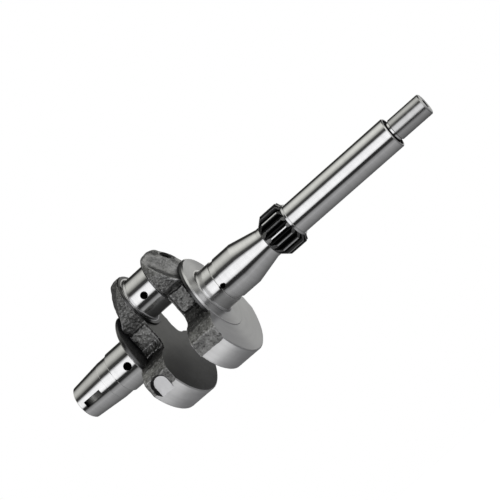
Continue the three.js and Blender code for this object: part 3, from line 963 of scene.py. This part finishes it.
def lattice_noise(axes, spacing, seed):
    """Smooth random field from -1 to 1 on a grid, from random values at points a spacing apart."""
    sizes = [int((axis[-1] - axis[0]) / spacing) + 2 for axis in axes]
    field = np.random.default_rng(seed).uniform(-1, 1, sizes)
    for direction, axis in enumerate(axes):
        place = (axis - axis[0]) / spacing
        cell = place.astype(int)
        share = step_up(place - cell, 0, 1)
        shape = [1, 1, 1]
        shape[direction] = -1
        share = share.reshape(shape)
        near = np.take(field, cell, direction)
        far = np.take(field, cell + 1, direction)
        field = near * (1 - share) + far * share
    return field


def shoulder_field(u, y, z):
    """Distance above the conical shoulder. It is crowned, and falls to a ridge on each side of the lobe."""
    across = np.abs(y)
    cone = DISC_INNER - SHOULDER_SLOPE * np.maximum(np.hypot(y, z) - DISC_RADIUS, 0)
    ridge = np.minimum(cone, RIDGE["x"] + RIDGE["slope"] * (RIDGE["z"] - z) + 0.9)
    crown = CROWN * (1 - step_up(across, 5, 14)) * window(z, 38, 54, 5)
    surface = cone + crown + (ridge - cone) * step_up(across, 6, 18) * step_up(z, 15, 31)
    return (u - surface) / math.hypot(1, SHOULDER_SLOPE)


def forging_field(axes, extent, seed):
    """Signed distance of one web with its counterweight. The first axis runs out from the pin's middle."""
    u = axes[0][:, None, None]
    y = axes[1][None, :, None]
    z = axes[2][None, None, :]
    stock = 1.0
    outline = outline_distance(forging_outline(), axes[1][:, None], axes[2][None, :])[None, :, :]

    # Slow waves bend the edges of the raised pad and of the step beside the thrust disc.
    waves = lattice_noise(axes, 7.0, seed)
    pad = window(u + 0.8 * waves, extent["inner"], extent["outer"], 1.6)
    pad = pad * window(z + 0.8 * waves, extent["foot"], extent["top"], 2.2)
    neck = window(z, extent["foot"] - 3, extent["top"] + 3, 3)
    hollow = step_up(u + 0.4 * waves, extent["outer"] + 0.4, DISC_INNER)
    hollow = hollow * window(z, extent["foot"], HOLLOW_TOP, 4)
    on_lobe = step_up(z, 16, 24)
    beside_pad = neck * (1 - pad)
    flank = outline + 0.2 * on_lobe + RELIEF["pad"] * beside_pad + RELIEF["hollow"] * hollow

    outer = np.where(z > NECK_FOOT, shoulder_field(u, y, z), u - WEIGHT_OUTER - stock)
    body = smooth_max(flank, outer, 3.5)

    # A raised flash line follows the edge between the shoulder and the lobe's flank.
    flash = np.exp(-(((flank + 1.0) ** 2 + (outer + 1.0) ** 2) / 1.2**2))
    body = body - RELIEF["flash"] * flash * on_lobe * (0.7 + 0.6 * waves)

    # A low boss surrounds the mouth of the oil gallery.
    from_mouth = np.hypot(y, z - GALLERY_MOUTH_RADIUS)
    boss = np.exp(-(((from_mouth - BOSS["radius"]) / BOSS["width"]) ** 2))
    body = body - BOSS["height"] * boss * step_up(flank - outer, 0.0, -3.0)

    # The skin is rough on the flanks, and smoother on the conical shoulder.
    lumps = lattice_noise(axes, 2.8, seed + 1)
    grit = lattice_noise(axes, 1.3, seed + 2)
    on_flank = step_up(flank - outer, -1.0, 3.0)
    rough = 0.25 + 0.75 * on_flank
    body = body + RELIEF["waves"] * waves
    body = body + rough * (RELIEF["lumps"] * lumps + RELIEF["grit"] * grit)
    for height in DRAW_LINES:
        line = np.exp(-(((z - height + waves) / 1.1) ** 2))
        body = body - RELIEF["draw_line"] * on_flank * line

    body = np.maximum(body, WEB_INNER - stock - u)
    limits = np.maximum(np.abs(y) - FLANK_HALF_WIDTH + 0.02, z - LOBE_TOP + 0.02)
    return np.maximum(body, limits).astype(np.float32)


def forging(end, side, seed):
    """The rough forging of one web with its counterweight, as a mesh object."""
    across = FLANK_HALF_WIDTH + 2
    spans = (
        (WEB_INNER - 3 * GRID - 1, WEIGHT_OUTER + 4),
        (-across, across),
        (-WEIGHT_RADIUS - 4, LOBE_TOP + 2),
    )
    axes = [np.arange(first, last, GRID) for first, last in spans]
    grid = openvdb.FloatGrid(3.0)
    grid.copyFromArray(forging_field(axes, PADS[end], seed))
    points, quads = grid.convertToQuads(isovalue=0.0)
    points = points * GRID + [axis[0] for axis in axes]
    points[:, 0] *= side
    mesh = bpy.data.meshes.new("forging")
    mesh.from_pydata(points.tolist(), [], quads.tolist())
    bm = bmesh.new()
    bm.from_mesh(mesh)
    bpy.data.meshes.remove(mesh)
    return bm


# Material slots of a web and its counterweight, in the order of the list in make_throw_side. The
# faces of a cutter carry the slot that its cut shows.
SKIN, INNER_FACE, OUTER_FACE, BORE, TURNED_RIM = range(5)


def ordered(side, near, far):
    """Two distances from the pin's middle as stations in rising order."""
    return sorted((side * near, side * far))


def cut_block(piece, side, near, far, bottom, top, slot):
    """Cuts away all between two distances from the pin's middle and between two heights."""
    start, end = ordered(side, near, far)
    cut(piece, as_object("block", block((start, -REACH, bottom), (end, REACH, top), slot)))


def turning_cutter(side):
    """Everything below the turned top that the lathe removes round the rim, with its broken edges."""
    chamfer = 0.9
    clear = 3.0
    start, end = ordered(side, WEB_INNER - clear, WEIGHT_OUTER + clear)
    box = block((start, -REACH, -REACH), (end, REACH, TURNED_TOP), OUTER_FACE)
    waste = as_object("waste", box)
    low_face, high_face = ordered(side, WEB_INNER, WEIGHT_OUTER)
    barrel = [
        (low_face - 2 * clear, WEIGHT_RADIUS - chamfer - 2 * clear),
        (low_face + chamfer, WEIGHT_RADIUS),
        (high_face - chamfer, WEIGHT_RADIUS),
        (high_face + 2 * clear, WEIGHT_RADIUS - chamfer - 2 * clear),
    ]
    cut(waste, as_object("barrel", lathe(solid_profile(barrel, TURNED_RIM))))
    return waste


def notch_outline(radius):
    """Round-topped slot of some half width, open downwards, as (x, z) points."""
    centre = NOTCH["top"] - NOTCH["width"] / 2
    points = [(NOTCH["centre"] + dx, z) for dx, z in arc((0, centre), radius, 0, 180, 33)]
    return points + [(NOTCH["centre"] - radius, -REACH), (NOTCH["centre"] + radius, -REACH)]


def notch_cutter():
    """Notch in the -Y flank, with a turned floor and walls that flare out to the flank, painted dark as
    shade.
    """
    inset = 0.4
    radius = NOTCH["width"] / 2 - inset
    depth = FLANK_HALF_WIDTH - NOTCH["floor"]
    clear = 4.0
    mouth = radius + NOTCH_FLARE * (depth + clear) / depth
    start, end = -FLANK_HALF_WIDTH - clear, -NOTCH["floor"]
    bm = prism(notch_outline(mouth), start, end, BORE, notch_outline(radius))
    for face in bm.faces:
        if all(abs(vert.co.x - end) < 0.01 for vert in face.verts):
            face.material_index = TURNED_RIM
    # The prism was drawn along X, so its length is turned to Y and its first coordinate to X.
    bm.transform(Matrix(((0, 1, 0, 0), (1, 0, 0, 0), (0, 0, 1, 0), (0, 0, 0, 1))))
    return as_object("notch", bm)


def make_throw_side(end, side, seed):
    """Forges, machines and parts one web and its counterweight."""
    materials = [FORGED[end], BLASTED, TURNED, DRILLED, RIM]
    rough = as_object("forging", forging(end, side, seed), materials)
    cut_block(rough, side, 0, WEB_INNER, -REACH, REACH, INNER_FACE)
    cut_block(rough, side, WEIGHT_OUTER, WEIGHT_OUTER + 20, -REACH, REACH, OUTER_FACE)
    # The thrust disc gets a room of its own shape in the forging.
    chamfer_start = DISC_OUTER - DISC_CHAMFER
    room = [
        (side * DISC_INNER, DISC_RADIUS),
        (side * chamfer_start, DISC_RADIUS),
        (side * (chamfer_start + 2 * DISC_CHAMFER), DISC_RADIUS - 2 * DISC_CHAMFER),
    ]
    cut(rough, as_object("room", lathe(solid_profile(room, SKIN))))

    web = as_object("web", rough.data.copy())
    cut_block(web, side, -REACH, REACH, -REACH, NECK_FOOT, SKIN)
    mouth, inwards = gallery_line(side)
    bore_end = mouth + inwards * PLUG_BORE["depth"]
    cut(web, drill(mouth, bore_end, PLUG_BORE["radius"], index=BORE))
    mark_machined_edges(web.data)
    finish_piece(f"{end}_web", web, sharp_degrees=None)

    weight = rough
    cut_block(weight, side, -REACH, REACH, NECK_FOOT, REACH, SKIN)
    cut(weight, turning_cutter(side))
    if side < 0:
        cut(weight, notch_cutter())
    mark_machined_edges(weight.data)
    finish_piece(f"{end}_counterweight", weight, sharp_degrees=None)


# ---- The studio ----


def make_studio():
    """A tent of light panels along the shaft, by angle round X: 0 is level in front, 90 overhead."""
    world = bpy.data.worlds.new("studio")
    bpy.context.scene.world = world
    world.use_nodes = True
    tree = world.node_tree
    tree.nodes.clear()
    direction = add_node(tree, "ShaderNodeTexCoord").outputs["Generated"]
    x, y, z = split(tree, direction)
    angle = calc(tree, "ARCTAN2", z, calc(tree, "MULTIPLY", y, -1.0))
    turn = calc(tree, "MULTIPLY_ADD", angle, 1 / (2 * math.pi), 0.5)
    panels = [
        (-180, 0.5), (-168, 0.1), (-140, 0.1), (-100, 0.2), (-70, 0.28), (-58, 0.34),
        (-42, 0.24), (-34, 0.02), (-17, 0.02), (-12, 0.8), (0, 1.0), (30, 0.9),
        (37, 0.45), (42, 0.03), (56, 0.06), (64, 0.34), (78, 0.64), (90, 0.72),
        (104, 0.64), (118, 0.34), (127, 0.03), (160, 0.03), (168, 0.8), (180, 0.5),
    ]
    overhead = 50
    stops = []
    for degrees, value in panels:
        warmth = 0.045 if degrees > overhead else -0.02
        stops.append((degrees / 360 + 0.5, grey(value, warmth)))
    tent = ramp(tree, turn, stops)
    strength = 1.25
    above = remap(tree, turn, (0.61, 0.65), (0, 1))
    towards_flywheel = remap(tree, x, (-0.45, -0.18), (0.4, 0))
    dimming = calc(tree, "MULTIPLY", above, towards_flywheel)
    level = calc(tree, "SUBTRACT", strength, dimming)
    beyond_output_end = remap(tree, x, (0.85, 0.95), (0, 1))
    end_light = ramp(tree, remap(tree, z, (-0.4, 0.1), (0, 1)), [(0.0, grey(0.1)), (1.0, grey(0.7))])
    tent = blend(tree, tent, end_light, "MIX", beyond_output_end)
    lit = add_node(tree, "ShaderNodeBackground", Color=tent, Strength=level)
    plain = add_node(tree, "ShaderNodeBackground", Color=(1, 1, 1, 1), Strength=1.0)
    seen = add_node(tree, "ShaderNodeLightPath").outputs["Is Camera Ray"]
    mix = add_node(tree, "ShaderNodeMixShader", Fac=seen)
    tree.links.new(lit.outputs[0], mix.inputs[1])
    tree.links.new(plain.outputs[0], mix.inputs[2])
    add_node(tree, "ShaderNodeOutputWorld", Surface=mix.outputs[0])


def make_rim_light(lit):
    """Soft box below and in front of the counterweights. It lights only the given pieces."""
    data = bpy.data.lights.new("rim_box", "AREA")
    data.shape = "RECTANGLE"
    data.size = 0.11
    data.size_y = 0.10
    data.energy = 0.042
    light = bpy.data.objects.new("rim_box", data)
    bpy.context.scene.collection.objects.link(light)
    light.light_linking.receiver_collection = bpy.data.collections.new("lit_rims")
    for piece in lit:
        light.light_linking.receiver_collection.objects.link(piece)
    place = Vector((-0.03, -0.09, -0.19))
    target = Vector((0, -FLANK_HALF_WIDTH, TURNED_TOP)) * MM
    turn = (place - target).to_track_quat("Z", "Y").to_matrix().to_4x4()
    light.matrix_world = Matrix.Translation(place) @ turn


def make_floor():
    """Pale floor well below the part, lit evenly so that it shows no horizon."""
    drop = 0.6
    bm = bmesh.new()
    bmesh.ops.create_circle(bm, cap_ends=True, segments=96, radius=2.0)
    bm.transform(Matrix.Translation((0.08, 0, -drop)))
    material, tree = new_material("pale_floor")
    position = object_position(tree)
    mottle = noise(tree, position, 14.0)
    tone = ramp(tree, mottle, [(0.3, grey(0.86)), (0.7, grey(0.9))])
    with_shader(material, Base_Color=tone, Roughness=0.8, Emission_Color=tone, Emission_Strength=1.0)
    floor = as_object("floor", bm, [material])
    floor.visible_diffuse = False
    floor.visible_glossy = False
    floor.visible_shadow = False


def make_camera():
    """The camera stands level with the main axis, a little towards the output end, and is rolled."""
    yaw = math.radians(17.107)
    axis_rise = math.radians(41.483)
    distance = 1.145
    aim = Vector((0.08352, 0, 0.0047))
    data = bpy.data.cameras.new("camera")
    data.sensor_width = 36.0
    data.lens = 106.3
    data.clip_end = 20.0
    camera = bpy.data.objects.new("camera", data)
    bpy.context.scene.collection.objects.link(camera)
    back = Vector((math.sin(yaw), -math.cos(yaw), 0))
    level_right = Vector((math.cos(yaw), math.sin(yaw), 0))
    up = Vector((0, 0, 1))
    right = level_right * math.cos(axis_rise) - up * math.sin(axis_rise)
    rolled_up = up * math.cos(axis_rise) + level_right * math.sin(axis_rise)
    axes = Matrix((right, rolled_up, back)).transposed()
    camera.matrix_world = Matrix.Translation(aim + back * distance) @ axes.to_4x4()
    bpy.context.scene.camera = camera


# ---- Assembly ----

make_flywheel_taper()
make_front_sections()
for end, side, seed in (("front", -1, 11), ("rear", 1, 47)):
    make_thrust_disc(end, side)
    make_rod_thrust_face(end, side)
    make_gallery_plug(end, side)
    make_throw_side(end, side, seed)
make_crankpin()
make_rear_sections()
make_timing_gear()
make_output_shaft()
make_output_spigot()

make_studio()
make_rim_light([bpy.data.objects[f"{end}_counterweight_finish"] for end in PADS])
make_floor()
make_camera()
bpy.context.scene.view_settings.view_transform = "Standard"
